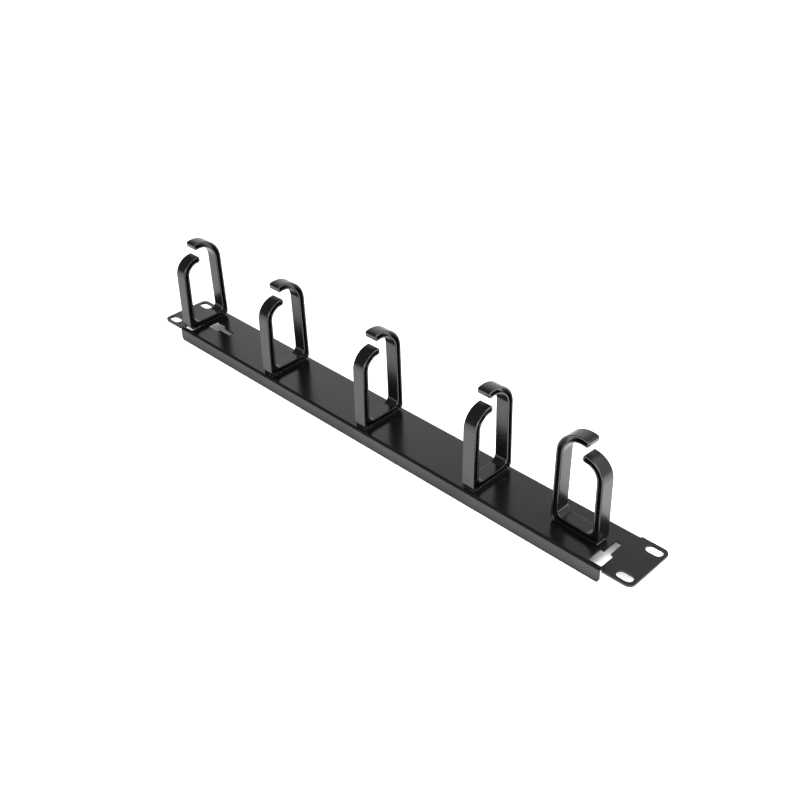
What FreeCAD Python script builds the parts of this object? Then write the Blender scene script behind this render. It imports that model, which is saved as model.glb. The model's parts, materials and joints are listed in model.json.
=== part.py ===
"""Horizontal cable manager, one rack unit high: a folded steel panel with five moulded cable rings.

The panel lies on the free edges of its two folded flanges.  X runs along the panel, Y across it from
its lower to its upper edge in the rack, and Z out of its face towards the cables.  The origin is on the
face, at the centre of the four ear slots.  Every size is in millimetres or degrees.
"""
import FreeCAD, Part
import math
import os
import re

import Sketcher

# name, value, what it measures
SIZES = [
    ("panel_length", 482.6, "panel from ear to ear"),
    ("panel_width", 43.7, "panel across, one rack unit less its gap"),
    ("sheet_gauge", 1.5, "thickness of the folded sheet"),
    ("ear_length", 23.8, "flat ear, from the folded stretch to the panel's end"),
    ("flange_depth", 11.5, "face to the free edge of a flange"),
    ("bend_radius", 0.6, "inside radius of the two folds"),
    ("flange_corner", 2.5, "rounding of a flange's free corners"),
    ("ear_corner", 5.0, "rounding of an ear's outer corners"),
    ("relief_length", 1.6, "notch beside each fold, along the panel"),
    ("relief_depth", 1.2, "notch beside each fold, across the panel"),
    ("slot_end_margin", 8.75, "panel's end to an ear slot's middle"),
    ("slot_side_margin", 5.975, "panel's long edge to an ear slot's middle"),
    ("slot_length", 12.0, "ear slot, end to end"),
    ("slot_width", 7.0, "ear slot, across"),
    ("key_entry_width", 10.3, "keyhole's wide part, across"),
    ("key_entry_length", 13.3, "keyhole's wide part, along"),
    ("key_lock_width", 5.0, "keyhole's narrow part, across"),
    ("key_lock_length", 12.9, "keyhole's narrow part, along"),
    ("key_corner", 0.6, "rounding of a keyhole's corners"),
    ("key_end_margin", 29.5, "panel's end to the middle of the outermost crosswise keyhole"),
    ("key_side_margin", 3.05, "panel's lower edge to a crosswise keyhole's wide end"),
    ("end_key_gap", 8.3, "middle of the outermost crosswise keyhole to an end keyhole's wide end"),
    ("end_key_line", 0.6, "Y of the end keyholes' centre line"),
    ("ring_width", 10.5, "ring's band, across"),
    ("ring_wall", 5.2, "ring's leg and arm thickness"),
    ("ring_base", 5.2, "ring's base thickness"),
    ("ring_front", 19.4, "ring's middle to its front leg's outside, at the base"),
    ("ring_back", 20.3, "ring's middle to its back leg's outside, at the base"),
    ("leg_lean", 0.8, "inward lean of both legs"),
    ("outer_corner", 4.5, "outside rounding, base to both legs"),
    ("inner_corner", 5.2, "inside rounding, base to both legs"),
    ("front_tip_reach", 2.7, "front arm's tip beyond the middle of its bend"),
    ("front_tip_height", 63.6, "face to the top of the front arm's tip"),
    ("front_arm_rise", 6.0, "slope of the front arm towards its tip"),
    ("front_bend", 15.0, "outside radius, front leg to front arm"),
    ("back_tip_reach", 6.3, "back arm's tip beyond the middle of its bend"),
    ("back_tip_step", 10.9, "back arm's tip above the front arm's"),
    ("back_arm_fall", 9.0, "slope of the back arm down to its tip"),
    ("back_bend", 19.5, "outside radius, back leg to back arm"),
    ("tip_round", 1.6, "rounding of both tips"),
    ("rim_round", 0.4, "rounding along both edges of the band's rims"),
    ("groove_rim", 1.3, "rim left on either side of the groove along each side of the band"),
    ("groove_depth", 4.0, "depth of those two grooves"),
    ("seat_gap", 0.15, "ring's base above the face, and its foot plate under the sheet"),
    ("foot_shift", 1.0, "foot's middle beyond the ring's middle"),
    ("foot_end_play", 1.1, "foot shorter than a keyhole's wide part"),
    ("foot_side_play", 0.35, "foot clear of a keyhole's sides, each side"),
    ("foot_plate", 2.2, "thickness of the foot's retaining plate"),
    ("foot_stop_gap", 0.3, "foot short of a keyhole's closed end when it is home"),
    ("ring_sway", 0.15, "how far the upright rings sit off their keyholes' centre lines"),
    ("turned_ring_slack", 0.7, "how far the turned ring stands off its closed end"),
    ("turned_ring_skew", 2.4, "how far the turned ring is off square"),
]
RINGS_ACROSS = 4
CROSS_KEYHOLES = 5

# places that follow from the sizes
TROUGH_LENGTH = "(panel_length - 2 * ear_length)"
OUTERMOST_KEYHOLE = "(panel_length / 2 - key_end_margin)"
CROSS_SHOULDERS = "(key_side_margin + key_entry_length - panel_width / 2)"
END_SHOULDERS = f"({OUTERMOST_KEYHOLE} - end_key_gap - key_entry_length)"
TURNED_RING_TURN = "(90 - turned_ring_skew)"

doc = FreeCAD.newDocument("cable_manager")


def make_sheet():
    """Put every driving size in a spreadsheet cell under its own name."""
    sheet = doc.addObject("Spreadsheet::Sheet", "Sizes")
    for row, (name, value, note) in enumerate(SIZES, start=1):
        sheet.set(f"A{row}", note)
        sheet.set(f"B{row}", str(value))
        sheet.setAlias(f"B{row}", name)
    doc.recompute()
    return sheet


sheet = make_sheet()
NAMES = {name for name, _, _ in SIZES}


def link(formula):
    """Turn a formula in plain names into one that reads the spreadsheet."""
    def in_sheet(word):
        return f"Sizes.{word[0]}" if word[0] in NAMES else word[0]

    return re.sub(r"[a-z][a-z_]*", in_sheet, formula)


def measure(formula):
    """The value of a formula at the present sizes."""
    return float(sheet.evalExpression(link(formula)))


def bind(thing, prop, formula):
    """Tie a property or a sketch dimension to the spreadsheet."""
    thing.setExpression(prop, link(formula))


# ---- sketching ---------------------------------------------------------------------------------

def new_body(label):
    """Start a sub-part; its label names its file."""
    body = doc.addObject("PartDesign::Body", label)
    body.Label = label
    return body


def new_sketch(body, name, plane):
    """Start a sketch on one of the body's own origin planes."""
    sketch = body.newObject("Sketcher::SketchObject", name)
    face = next(f for f in body.Origin.OriginFeatures if f.Role == plane)
    sketch.AttachmentSupport = [(face, "")]
    sketch.MapMode = "FlatFace"
    return sketch


def dimension(sketch, constraint, formula):
    """Add a dimension and tie it to its formula."""
    index = sketch.addConstraint(constraint)
    bind(sketch, f"Constraints[{index}]", formula)


def crossing(first, second):
    """Where two sides, each an angle and a point, would meet."""
    (a, (ax, ay)), (b, (bx, by)) = first, second
    along = (bx - ax) * math.sin(b) - (by - ay) * math.cos(b)
    reach = along / math.sin(b - a)
    return FreeCAD.Vector(ax + reach * math.cos(a), ay + reach * math.sin(a), 0)


def heading(angle):
    """The unit vector that points along an angle."""
    return FreeCAD.Vector(math.cos(angle), math.sin(angle), 0)


def draw_outline(sketch, sides):
    """Draw a closed outline, anticlockwise, with tangent rounded corners.

    A side is (direction, across, up, corner): its direction in degrees, a point that it passes through,
    and the radius that leads to the next side, or None where the corner is sharp.  All are formulas.
    """
    lines = []
    for direction, across, up, _ in sides:
        lines.append((math.radians(measure(direction)), (measure(across), measure(up))))
    count = len(sides)
    corners = [crossing(lines[i], lines[(i + 1) % count]) for i in range(count)]
    radii = [measure(side[3]) if side[3] else 0.0 for side in sides]
    turns = []
    for i in range(count):
        turn = lines[(i + 1) % count][0] - lines[i][0]
        turns.append(math.remainder(turn, 2 * math.pi))
    cuts = [radii[i] * abs(math.tan(turns[i] / 2)) for i in range(count)]

    edges = []
    for i in range(count):
        along = heading(lines[i][0])
        start = corners[i - 1] + along * cuts[i - 1]
        end = corners[i] - along * cuts[i]
        edges.append(sketch.addGeometry(Part.LineSegment(start, end), False))
    for i, (direction, across, up, corner) in enumerate(sides):
        fix_side(sketch, edges[i], direction, across, up)
        following = edges[(i + 1) % count]
        if corner is None:
            sketch.addConstraint(Sketcher.Constraint("Coincident", edges[i], 2, following, 1))
            continue
        round_corner(sketch, edges[i], following, lines[i][0], corners[i], cuts[i], turns[i], corner)


def fix_side(sketch, edge, direction, across, up):
    """Hold a side's direction and its distance from the origin."""
    angle = measure(direction)
    if angle % 180 == 0:
        sketch.addConstraint(Sketcher.Constraint("Horizontal", edge))
    elif angle % 90 == 0:
        sketch.addConstraint(Sketcher.Constraint("Vertical", edge))
    else:
        lean = Sketcher.Constraint("Angle", edge, math.radians(angle))
        dimension(sketch, lean, f"({direction}) * 1 deg")
    offset = f"abs(cos({direction}) * ({up}) - sin({direction}) * ({across}))"
    distance = measure(offset)
    if distance < 1e-6:
        sketch.addConstraint(Sketcher.Constraint("PointOnObject", -1, 1, edge))
    else:
        dimension(sketch, Sketcher.Constraint("Distance", -1, 1, edge, distance), offset)


def round_corner(sketch, edge, following, angle, corner, cut, turn, radius):
    """Join two sides with a tangent arc; a right-hand turn is an inside corner."""
    size = measure(radius)
    side = math.copysign(1, turn)
    left = heading(angle + math.pi / 2)
    centre = corner - heading(angle) * cut + left * (size * side)
    first = angle - side * math.pi / 2
    last = first + turn
    circle = Part.Circle(centre, FreeCAD.Vector(0, 0, 1), size)
    arc = sketch.addGeometry(Part.ArcOfCircle(circle, min(first, last), max(first, last)), False)
    near, far = (1, 2) if turn > 0 else (2, 1)
    sketch.addConstraint(Sketcher.Constraint("Tangent", edge, 2, arc, near))
    sketch.addConstraint(Sketcher.Constraint("Tangent", arc, far, following, 1))
    dimension(sketch, Sketcher.Constraint("Radius", arc, size), radius)


def draw_slot(sketch, across, up, length, width):
    """Draw a slot with full-round ends, lengthwise across the sketch."""
    radius = measure(width) / 2
    reach = (measure(length) - measure(width)) / 2
    middle = FreeCAD.Vector(measure(across), measure(up), 0)
    top = FreeCAD.Vector(0, radius, 0)
    arcs = []
    for side in (1, -1):
        centre = middle + FreeCAD.Vector(side * reach, 0, 0)
        circle = Part.Circle(centre, FreeCAD.Vector(0, 0, 1), radius)
        start = -side * math.pi / 2
        arcs.append(sketch.addGeometry(Part.ArcOfCircle(circle, start, start + math.pi), False))
    right, left = arcs
    span = FreeCAD.Vector(reach, 0, 0)
    upper = sketch.addGeometry(Part.LineSegment(middle + span + top, middle - span + top), False)
    lower = sketch.addGeometry(Part.LineSegment(middle - span - top, middle + span - top), False)
    for one, one_end, two, two_end in (
        (right, 2, upper, 1), (upper, 2, left, 1), (left, 2, lower, 1), (lower, 2, right, 1),
    ):
        sketch.addConstraint(Sketcher.Constraint("Tangent", one, one_end, two, two_end))
    sketch.addConstraint(Sketcher.Constraint("Horizontal", upper))
    sketch.addConstraint(Sketcher.Constraint("Equal", right, left))
    dimension(sketch, Sketcher.Constraint("Radius", right, radius), f"{width} / 2")
    place(sketch, right, "DistanceX", f"{across} + ({length} - {width}) / 2")
    place(sketch, left, "DistanceX", f"{across} - ({length} - {width}) / 2")
    place(sketch, right, "DistanceY", up)


def place(sketch, arc, kind, formula):
    """Dimension an arc's centre from the origin along one axis."""
    value = measure(formula)
    if value > 0:
        dimension(sketch, Sketcher.Constraint(kind, -1, 1, arc, 3, value), formula)
    else:
        dimension(sketch, Sketcher.Constraint(kind, arc, 3, -1, 1, -value), f"-({formula})")


# ---- features ----------------------------------------------------------------------------------

def pad(body, sketch, name, length, both_ways=False, reverse=False):
    """Raise a sketch into a solid."""
    feature = body.newObject("PartDesign::Pad", name)
    feature.Profile = sketch
    feature.SideType = "Symmetric" if both_ways else "One side"
    feature.Reversed = reverse
    bind(feature, "Length", length)
    return feature


def pocket(body, sketch, name, depth, reverse=False):
    """Cut a sketch into the body, and make sure that it cut."""
    doc.recompute()
    before = body.Shape.Volume
    feature = body.newObject("PartDesign::Pocket", name)
    feature.Profile = sketch
    feature.Reversed = reverse
    bind(feature, "Length", depth)
    doc.recompute()
    if body.Shape.Volume >= before:
        raise RuntimeError(f"{name} cuts nothing")
    return feature


def round_edges(body, name, radius, chosen):
    """Round the edges of the body's last feature that a test picks."""
    doc.recompute()
    base = body.Tip
    picked = [f"Edge{i}" for i, edge in enumerate(base.Shape.Edges, start=1) if chosen(edge)]
    feature = body.newObject("PartDesign::Fillet", name)
    feature.Base = (base, picked)
    bind(feature, "Radius", radius)
    return feature


# ---- outlines ----------------------------------------------------------------------------------

def turned(outline, quarters):
    """Turn an outline of upright sides about the origin by quarter turns, anticlockwise."""
    for _ in range(quarters % 4):
        outline = [(str(int(way) + 90), f"-({y})", x, corner) for way, x, y, corner in outline]
    return outline


def moved(outline, across, up):
    """Move an outline."""
    return [(way, f"{across} + {x}", f"{up} + {y}", corner) for way, x, y, corner in outline]


def trough_outline():
    """Section of the folded stretch: the face above, a flange down each side."""
    half = "panel_width / 2"
    inside = f"({half} - sheet_gauge)"
    outer_bend = "bend_radius + sheet_gauge"
    return [
        ("0", "0", "-flange_depth", None),
        ("90", f"-{inside}", "0", "bend_radius"),
        ("0", "0", "-sheet_gauge", "bend_radius"),
        ("-90", inside, "0", None),
        ("0", "0", "-flange_depth", None),
        ("90", half, "0", outer_bend),
        ("180", "0", "0", outer_bend),
        ("-90", f"-{half}", "0", None),
    ]


def ear_outline():
    """Flat right-hand ear, seen from above, with a relief notch beside each fold."""
    root = f"{TROUGH_LENGTH} / 2"
    notch = f"{root} + relief_length"
    edge = "panel_width / 2"
    neck = f"({edge} - relief_depth)"
    return [
        ("-90", root, "0", None),
        ("0", "0", f"-{neck}", None),
        ("-90", notch, "0", None),
        ("0", "0", f"-{edge}", "ear_corner"),
        ("90", "panel_length / 2", "0", "ear_corner"),
        ("180", "0", edge, None),
        ("-90", notch, "0", None),
        ("180", "0", neck, None),
    ]


def keyhole_outline():
    """Keyhole with its shoulders on the origin, its wide part below and its narrow part above."""
    wide = "key_entry_width / 2"
    narrow = "key_lock_width / 2"
    rounded = "key_corner"
    return [
        ("0", "0", "-key_entry_length", rounded),
        ("90", wide, "0", rounded),
        ("180", "0", "0", rounded),
        ("90", narrow, "0", rounded),
        ("180", "0", "key_lock_length", rounded),
        ("-90", f"-{narrow}", "0", rounded),
        ("180", "0", "0", rounded),
        ("-90", f"-{wide}", "0", rounded),
    ]


def ring_outline():
    """Open D of the ring, seen along the panel: the front leg on the left, the back leg on the right."""
    inset = "ring_wall / cos(leg_lean)"
    front_tip, front_top = "(front_bend + front_tip_reach - ring_front)", "front_tip_height"
    back_tip, back_top = "(ring_back - back_bend - back_tip_reach)", "(front_tip_height + back_tip_step)"
    front_under = under_arm(front_tip, front_top, "front_arm_rise")
    back_under = under_arm(back_tip, back_top, "back_arm_fall")
    return [
        ("0", "0", "seat_gap", "outer_corner"),
        ("90 + leg_lean", "ring_back", "0", "back_bend"),
        ("180 + back_arm_fall", back_tip, back_top, "tip_round"),
        ("back_arm_fall - 90", back_tip, back_top, "tip_round"),
        ("back_arm_fall", *back_under, "back_bend - ring_wall"),
        ("leg_lean - 90", f"ring_back - {inset}", "0", "inner_corner"),
        ("180", "0", "seat_gap + ring_base", "inner_corner"),
        ("90 - leg_lean", f"{inset} - ring_front", "0", "front_bend - ring_wall"),
        ("front_arm_rise", *front_under, "tip_round"),
        ("90 + front_arm_rise", front_tip, front_top, "tip_round"),
        ("front_arm_rise - 180", front_tip, front_top, "front_bend"),
        ("-90 - leg_lean", "-ring_front", "0", "outer_corner"),
    ]


def inset(outline, rim):
    """Move every side of an anticlockwise outline inwards, and keep its rounded corners concentric."""
    inner = []
    for index, (way, across, up, corner) in enumerate(outline):
        following = outline[(index + 1) % len(outline)][0]
        turn = math.remainder(measure(following) - measure(way), 360)
        change = "-" if turn > 0 else "+"
        across = f"{across} - {rim} * sin({way})"
        up = f"{up} + {rim} * cos({way})"
        inner.append((way, across, up, f"{corner} {change} {rim}"))
    return inner


def under_arm(across, up, slope):
    """The point one wall thickness under an arm's top, square to its slope."""
    return f"{across} + ring_wall * sin({slope})", f"{up} - ring_wall * cos({slope})"


def foot_outline():
    """Section of the ring's foot: a neck through the keyhole and a wider plate under the sheet."""
    neck = "(key_lock_width / 2 - foot_side_play)"
    plate = "(key_entry_width / 2 - foot_side_play)"
    plate_top = "-sheet_gauge - seat_gap"
    return [
        ("0", "0", f"{plate_top} - foot_plate", None),
        ("90", plate, "0", None),
        ("180", "0", plate_top, None),
        ("90", neck, "0", None),
        ("180", "0", "seat_gap + ring_base / 2", None),
        ("-90", f"-{neck}", "0", None),
        ("180", "0", plate_top, None),
        ("-90", f"-{plate}", "0", None),
    ]


# ---- panel -------------------------------------------------------------------------------------

def make_panel():
    """Fold the trough, add the ears and cut the slots and keyholes."""
    body = new_body("panel")
    section = new_sketch(body, "trough_section", "YZ_Plane")
    draw_outline(section, trough_outline())
    pad(body, section, "trough", TROUGH_LENGTH, both_ways=True)
    add_ears(body)
    round_edges(body, "flange_corners", "flange_corner", is_flange_corner)
    add_ear_slots(body)
    add_keyholes(body)
    return body


def add_ears(body):
    """Add the flat ears, one at each end."""
    for name, quarters in (("right", 0), ("left", 2)):
        plan = new_sketch(body, f"{name}_ear_plan", "XY_Plane")
        draw_outline(plan, turned(ear_outline(), quarters))
        pad(body, plan, f"{name}_ear", "sheet_gauge", reverse=True)


def is_flange_corner(edge):
    """Tell the short edges across the sheet at the flanges' free corners."""
    box = edge.BoundBox
    across_sheet = box.XLength < 1e-4 and box.ZLength < 1e-4
    at_end = abs(abs(box.XMin) - measure(f"{TROUGH_LENGTH} / 2")) < 1e-4
    at_free_edge = abs(box.ZMin + measure("flange_depth")) < 1e-4
    return across_sheet and at_end and at_free_edge


def add_ear_slots(body):
    """Cut the four rack screw slots."""
    plan = new_sketch(body, "ear_slot_plan", "XY_Plane")
    for side in (1, -1):
        for edge in (1, -1):
            across = f"{side} * (panel_length / 2 - slot_end_margin)"
            up = f"{edge} * (panel_width / 2 - slot_side_margin)"
            draw_slot(plan, across, up, "slot_length", "slot_width")
    pocket(body, plan, "ear_slots", "sheet_gauge * 2")


def cross_keyhole(index):
    """X of a crosswise keyhole; they are evenly spaced from one end's to the other's."""
    return f"({2 * index / (CROSS_KEYHOLES - 1) - 1}) * {OUTERMOST_KEYHOLE}"


def add_keyholes(body):
    """Cut the keyholes: a row across the panel, and one along it near each end."""
    holes = [(0, cross_keyhole(index), CROSS_SHOULDERS) for index in range(CROSS_KEYHOLES)]
    holes.append((1, END_SHOULDERS, "end_key_line"))
    holes.append((-1, f"-{END_SHOULDERS}", "end_key_line"))
    for number, (quarters, across, up) in enumerate(holes, start=1):
        plan = new_sketch(body, f"keyhole_plan_{number}", "XY_Plane")
        draw_outline(plan, moved(turned(keyhole_outline(), quarters), across, up))
        pocket(body, plan, f"keyhole_{number}", "sheet_gauge * 2")


# ---- rings -------------------------------------------------------------------------------------

def make_ring(label):
    """Mould one ring about its own middle: a band grooved along both sides, and its foot."""
    body = new_body(label)
    side_view = new_sketch(body, f"{label}_outline", "YZ_Plane")
    draw_outline(side_view, ring_outline())
    pad(body, side_view, f"{label}_band", "ring_width", both_ways=True)
    for side, name in ((1, "right"), (-1, "left")):
        groove = new_sketch(body, f"{label}_{name}_groove_outline", "YZ_Plane")
        bind(groove, ".AttachmentOffset.Base.z", f"{side} * ring_width / 2")
        draw_outline(groove, inset(ring_outline(), "groove_rim"))
        pocket(body, groove, f"{label}_{name}_groove", "groove_depth", reverse=side < 0)
    round_edges(body, f"{label}_rim", "rim_round", is_rim)

    end_view = new_sketch(body, f"{label}_foot_section", "XZ_Plane")
    bind(end_view, ".AttachmentOffset.Base.z", "-foot_shift")
    draw_outline(end_view, foot_outline())
    pad(body, end_view, f"{label}_foot", "key_entry_length - foot_end_play", both_ways=True)
    return body


def is_rim(edge):
    """Tell the edges of the rims, along the band's faces and along the grooves."""
    half = measure("ring_width / 2")
    box = edge.BoundBox
    return box.XLength < 1e-4 and abs(abs(box.XMin) - half) < 1e-4


def home_distance():
    """From a keyhole's shoulders to a ring's middle when its foot is home at the closed end."""
    foot_half = "(key_entry_length - foot_end_play) / 2"
    return f"key_lock_length - foot_stop_gap - {foot_half} - foot_shift"


def seat_rings():
    """Put a ring in each crosswise keyhole but the last, and a turned one in the right-hand end keyhole."""
    for index in range(RINGS_ACROSS):
        ring = make_ring(f"ring_{index + 1}")
        bind(ring, ".Placement.Base.x", f"{cross_keyhole(index)} + ring_sway")
        bind(ring, ".Placement.Base.y", f"{CROSS_SHOULDERS} + {home_distance()}")

    ring = make_ring(f"ring_{RINGS_ACROSS + 1}")
    turn = FreeCAD.Rotation(FreeCAD.Vector(0, 0, 1), measure(TURNED_RING_TURN))
    ring.Placement = FreeCAD.Placement(FreeCAD.Vector(), turn)
    bind(ring, ".Placement.Rotation.Angle", f"{TURNED_RING_TURN} * 1 deg")
    foot_x = f"{END_SHOULDERS} - key_lock_length + foot_stop_gap + turned_ring_slack"
    foot_half = "(key_entry_length - foot_end_play) / 2"
    sway = f"foot_shift * sin{TURNED_RING_TURN}"
    rise = f"foot_shift * cos{TURNED_RING_TURN}"
    bind(ring, ".Placement.Base.x", f"{foot_x} + {foot_half} + {sway}")
    bind(ring, ".Placement.Base.y", f"end_key_line - {rise}")


# ---- write -------------------------------------------------------------------------------------

def check_and_write():
    """Refuse a failed feature or an unsound solid, then write each sub-part under its label."""
    doc.recompute()
    for thing in doc.Objects:
        if "Invalid" in thing.State or "Error" in thing.State:
            raise RuntimeError(f"{thing.Name} failed: {thing.State}")
    bodies = [thing for thing in doc.Objects if thing.TypeId == "PartDesign::Body"]
    for body in bodies:
        shape = body.Shape
        if shape.isNull() or not shape.isValid() or len(shape.Solids) != 1:
            raise RuntimeError(f"{body.Label} is not one sound solid")
    os.makedirs("parts", exist_ok=True)
    for body in bodies:
        body.Shape.exportStep(f"parts/{body.Label}.step")
        print(body.Label, round(body.Shape.Volume, 1), body.Shape.BoundBox)


make_panel()
seat_rings()
check_and_write()
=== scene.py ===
"""Looks of the horizontal cable manager: black powder-coated panel, black moulded cable rings.

Everything is in metres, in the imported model's own frame: X along the panel, Y across it, Z out of its face.
Ways are turned from +X towards +Y and rises are above the panel's face, both in degrees.
"""

import json
import math

import bpy
from mathutils import Matrix, Vector


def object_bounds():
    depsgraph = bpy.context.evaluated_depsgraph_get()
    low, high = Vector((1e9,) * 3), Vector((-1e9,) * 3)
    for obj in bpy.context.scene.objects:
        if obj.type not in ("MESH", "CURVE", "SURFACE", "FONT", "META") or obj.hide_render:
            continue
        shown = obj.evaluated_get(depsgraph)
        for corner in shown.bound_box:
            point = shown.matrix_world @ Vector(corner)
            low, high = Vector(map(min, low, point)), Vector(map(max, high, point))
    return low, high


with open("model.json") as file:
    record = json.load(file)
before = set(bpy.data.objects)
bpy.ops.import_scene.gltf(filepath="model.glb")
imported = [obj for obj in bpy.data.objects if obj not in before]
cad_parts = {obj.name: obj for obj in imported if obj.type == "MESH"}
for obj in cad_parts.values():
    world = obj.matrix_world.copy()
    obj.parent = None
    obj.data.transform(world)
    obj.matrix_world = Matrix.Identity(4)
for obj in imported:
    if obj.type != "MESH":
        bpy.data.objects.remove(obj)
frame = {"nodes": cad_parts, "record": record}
CAD_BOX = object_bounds()

# ---- view --------------------------------------------------------------------------------------
CAMERA_PLACE = Vector((0.5004, -0.4676, 0.4796))
CAMERA_AIM = Vector((0.01666, 0.00628, 0.02))
CAMERA_ROLL = -1.534
LENS = 50.487
SENSOR_WIDTH = 36.0
CAMERA_NEAR = 0.01
CAMERA_FAR = 30.0

# ---- table: white, with a painted shade where the object closes it in --------------------------
FLOOR_HALF = 3.0
FLOOR_COLOUR = 0.85
# Reach and samples of the ambient occlusion that paints the shade into the table's glow.
PAINTED_SHADE_REACH = 0.06
PAINTED_SHADE_SAMPLES = 8
CLOSED_IN = 0.05
OPEN_ENOUGH = 0.4
MIRRORED_FADE = 2.0

# ---- surround: a backdrop on one side that fades towards its edges and upwards -----------------
SURROUND_DARK = 0.15
BACKDROP_BRIGHT = 1.25
BACKDROP_WAY = 95.0
BACKDROP_EDGE = 0.38
BACKDROP_FULL = 0.6
BACKDROP_TOP = 0.79
BACKDROP_FULL_BELOW = 0.52

# ---- lamps -------------------------------------------------------------------------------------
OVERHEAD_PLACE = Vector((0.33, 0.13, 0.45))
OVERHEAD_SIDE = 0.25
OVERHEAD_POWER = 2.6
SOFTBOX_WAY = 300.0
SOFTBOX_RISE = 20.0
SOFTBOX_FAR = 1.0
SOFTBOX_WIDTH = 0.6
SOFTBOX_HEIGHT = 0.45
SOFTBOX_POWER = 15.0
SOFTBOX_AIM = Vector((0, 0, 0.02))

# ---- finishes: the bumps are a grain's count to the metre, its depth and its strength -----------
PAINT_BLACK = 0.004
PAINT_ROUGHNESS = 0.2
PAINT_IOR = 1.5
PAINT_GRAIN = (900.0, 0.00002, 0.25)
PLASTIC_BLACK = 0.003
PLASTIC_ROUGHNESS = 0.22
PLASTIC_IOR = 1.55
PLASTIC_GRAIN = (1500.0, 0.00001, 0.3)
GRAIN_DETAIL = 2.0


def aim(thing, target, roll=0.0):
    """Turn a camera or lamp so that it looks at a point, then roll it about its own axis."""
    look = (target - thing.location).to_track_quat("-Z", "Y").to_matrix().to_4x4()
    turn = Matrix.Rotation(math.radians(roll), 4, "Z")
    thing.matrix_world = Matrix.Translation(thing.location) @ look @ turn


def heading(way, rise=0.0):
    """The unit vector that points along a way and a rise."""
    way, rise = math.radians(way), math.radians(rise)
    return Vector((math.cos(rise) * math.cos(way), math.cos(rise) * math.sin(way), math.sin(rise)))


def make_camera():
    """The photograph's viewpoint."""
    camera = bpy.data.objects.new("camera", bpy.data.cameras.new("camera"))
    bpy.context.collection.objects.link(camera)
    camera.data.lens = LENS
    camera.data.sensor_width = SENSOR_WIDTH
    camera.data.clip_start = CAMERA_NEAR
    camera.data.clip_end = CAMERA_FAR
    camera.location = CAMERA_PLACE
    aim(camera, CAMERA_AIM, CAMERA_ROLL)
    bpy.context.scene.camera = camera


def make_lamp(name, place, target, width, height, power):
    """A rectangular area lamp that looks at a point."""
    data = bpy.data.lights.new(name, "AREA")
    data.shape = "RECTANGLE"
    data.size = width
    data.size_y = height
    data.energy = power
    lamp = bpy.data.objects.new(name, data)
    bpy.context.collection.objects.link(lamp)
    lamp.location = place
    aim(lamp, target)


def make_lamps():
    """A small lamp that looks straight down beside the right-hand end, and a softbox in front."""
    below = Vector((OVERHEAD_PLACE.x, OVERHEAD_PLACE.y, 0.0))
    make_lamp("overhead", OVERHEAD_PLACE, below, OVERHEAD_SIDE, OVERHEAD_SIDE, OVERHEAD_POWER)
    softbox_place = SOFTBOX_FAR * heading(SOFTBOX_WAY, SOFTBOX_RISE)
    make_lamp("softbox", softbox_place, SOFTBOX_AIM, SOFTBOX_WIDTH, SOFTBOX_HEIGHT, SOFTBOX_POWER)


def math_node(nodes, links, operation, first, second):
    """The outcome of a sum on two values, each a socket or a number."""
    node = nodes.new("ShaderNodeMath")
    node.operation = operation
    for socket, value in zip(node.inputs, (first, second)):
        if isinstance(value, float):
            socket.default_value = value
        else:
            links.new(value, socket)
    return node.outputs[0]


def smooth_step(nodes, links, value, zero_at, one_at):
    """A value's smooth step from 0 to 1 between two limits, whichever of them is the larger."""
    step = nodes.new("ShaderNodeMapRange")
    step.interpolation_type = "SMOOTHSTEP"
    step.inputs["From Min"].default_value = min(zero_at, one_at)
    step.inputs["From Max"].default_value = max(zero_at, one_at)
    step.inputs["To Min"].default_value = 0.0 if zero_at < one_at else 1.0
    step.inputs["To Max"].default_value = 1.0 if zero_at < one_at else 0.0
    links.new(value, step.inputs["Value"])
    return step.outputs["Result"]


def grey(level):
    """A grey of one level, as a colour with full alpha."""
    return (level, level, level, 1)


def new_material(name):
    """An empty node material and its node and link lists."""
    material = bpy.data.materials.new(name)
    material.use_nodes = True
    nodes, links = material.node_tree.nodes, material.node_tree.links
    nodes.clear()
    return material, nodes, links


def finish_material(nodes, links, surface):
    """Give a node material its output."""
    out = nodes.new("ShaderNodeOutputMaterial")
    links.new(surface, out.inputs["Surface"])


def grain_bump(nodes, links, count, depth, strength):
    """The normal of a fine noise grain that stays on the object as it moves."""
    place = nodes.new("ShaderNodeTexCoord")
    noise = nodes.new("ShaderNodeTexNoise")
    noise.inputs["Scale"].default_value = count
    noise.inputs["Detail"].default_value = GRAIN_DETAIL
    links.new(place.outputs["Object"], noise.inputs["Vector"])
    bump = nodes.new("ShaderNodeBump")
    bump.inputs["Strength"].default_value = strength
    bump.inputs["Distance"].default_value = depth
    links.new(noise.outputs["Fac"], bump.inputs["Height"])
    return bump.outputs["Normal"]


def make_finish(name, black, roughness, ior, grain):
    """A black finish with a fine grain."""
    material, nodes, links = new_material(name)
    shader = nodes.new("ShaderNodeBsdfPrincipled")
    shader.inputs["Base Color"].default_value = grey(black)
    shader.inputs["Roughness"].default_value = roughness
    shader.inputs["IOR"].default_value = ior
    links.new(grain_bump(nodes, links, *grain), shader.inputs["Normal"])
    finish_material(nodes, links, shader.outputs["BSDF"])
    return material


def make_paint():
    """Black semi-gloss powder coat with a faint orange-peel."""
    return make_finish("panel_paint_look", PAINT_BLACK, PAINT_ROUGHNESS, PAINT_IOR, PAINT_GRAIN)


def make_plastic():
    """Black moulded plastic."""
    return make_finish("ring_plastic_look", PLASTIC_BLACK, PLASTIC_ROUGHNESS, PLASTIC_IOR, PLASTIC_GRAIN)


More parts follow.
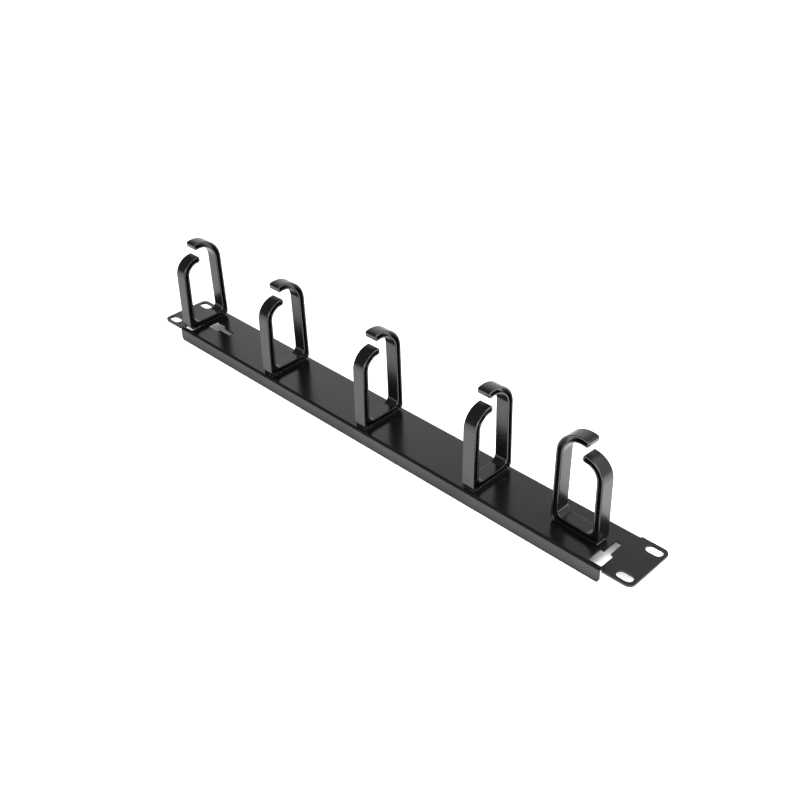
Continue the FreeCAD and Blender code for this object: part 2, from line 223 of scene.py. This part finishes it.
def make_table_white():
    """A white that the camera and reflections see as white, but for a painted shade close to the object:
    ambient occlusion dims its glow.
    """
    material, nodes, links = new_material("floor_white_painted_shade")
    diffuse = nodes.new("ShaderNodeBsdfDiffuse")
    diffuse.inputs["Color"].default_value = grey(FLOOR_COLOUR)
    path = nodes.new("ShaderNodeLightPath")
    openness = nodes.new("ShaderNodeAmbientOcclusion")
    openness.samples = PAINTED_SHADE_SAMPLES
    openness.inputs["Distance"].default_value = PAINTED_SHADE_REACH
    # Painted shade: the glow the camera sees is dimmed by ambient occlusion where the object closes the table
    # in.
    painted_shade = smooth_step(nodes, links, openness.outputs["AO"], CLOSED_IN, OPEN_ENOUGH)
    seen = math_node(nodes, links, "MULTIPLY", path.outputs["Is Camera Ray"], painted_shade)
    # Painted shade in reflections: the glow that reflections see fades with ambient occlusion near the
    # object.
    mirrored_painted_shade = math_node(nodes, links, "POWER", openness.outputs["AO"], MIRRORED_FADE)
    mirrored = math_node(nodes, links, "MULTIPLY", path.outputs["Is Glossy Ray"], mirrored_painted_shade)
    glow = nodes.new("ShaderNodeEmission")
    glow.inputs["Color"].default_value = grey(1)
    links.new(math_node(nodes, links, "MAXIMUM", seen, mirrored), glow.inputs["Strength"])
    total = nodes.new("ShaderNodeAddShader")
    links.new(diffuse.outputs[0], total.inputs[0])
    links.new(glow.outputs[0], total.inputs[1])
    finish_material(nodes, links, total.outputs[0])
    return material


def make_floor():
    """A plain white table under the flange edges."""
    lowest = CAD_BOX[0].z
    mesh = bpy.data.meshes.new("floor")
    ways = ((-1, -1), (1, -1), (1, 1), (-1, 1))
    mesh.from_pydata([(FLOOR_HALF * x, FLOOR_HALF * y, lowest) for x, y in ways], [], [(0, 1, 2, 3)])
    mesh.materials.append(make_table_white())
    floor = bpy.data.objects.new("floor", mesh)
    bpy.context.collection.objects.link(floor)


def make_world():
    """Soft studio surround: a bright backdrop on one side and dim elsewhere, but white to the camera."""
    world = bpy.data.worlds.new("studio")
    bpy.context.scene.world = world
    world.use_nodes = True
    nodes, links = world.node_tree.nodes, world.node_tree.links
    place = nodes.new("ShaderNodeTexCoord")
    facing = nodes.new("ShaderNodeVectorMath")
    facing.operation = "DOT_PRODUCT"
    facing.inputs[1].default_value = heading(BACKDROP_WAY)
    links.new(place.outputs["Generated"], facing.inputs[0])
    parts = nodes.new("ShaderNodeSeparateXYZ")
    links.new(place.outputs["Generated"], parts.inputs[0])
    across = smooth_step(nodes, links, facing.outputs["Value"], BACKDROP_EDGE, BACKDROP_FULL)
    upwards = smooth_step(nodes, links, parts.outputs["Z"], BACKDROP_TOP, BACKDROP_FULL_BELOW)
    backdrop = math_node(nodes, links, "MULTIPLY", across, upwards)
    added = math_node(nodes, links, "MULTIPLY", backdrop, BACKDROP_BRIGHT - SURROUND_DARK)
    level = math_node(nodes, links, "ADD", added, SURROUND_DARK)
    path = nodes.new("ShaderNodeLightPath")
    level = math_node(nodes, links, "MAXIMUM", level, path.outputs["Is Camera Ray"])
    nodes["Background"].inputs["Color"].default_value = grey(1)
    links.new(level, nodes["Background"].inputs["Strength"])


def dress_cad():
    """Give every CAD node its finish."""
    finishes = {"panel_paint": make_paint(), "ring_plastic": make_plastic()}
    for row in frame["record"]["subparts"]:
        for slot in frame["nodes"][row["node"]].material_slots:
            slot.material = finishes[row["material_slot"]]


bpy.context.scene.view_settings.view_transform = "Standard"
make_camera()
make_world()
make_floor()
make_lamps()
dress_cad()
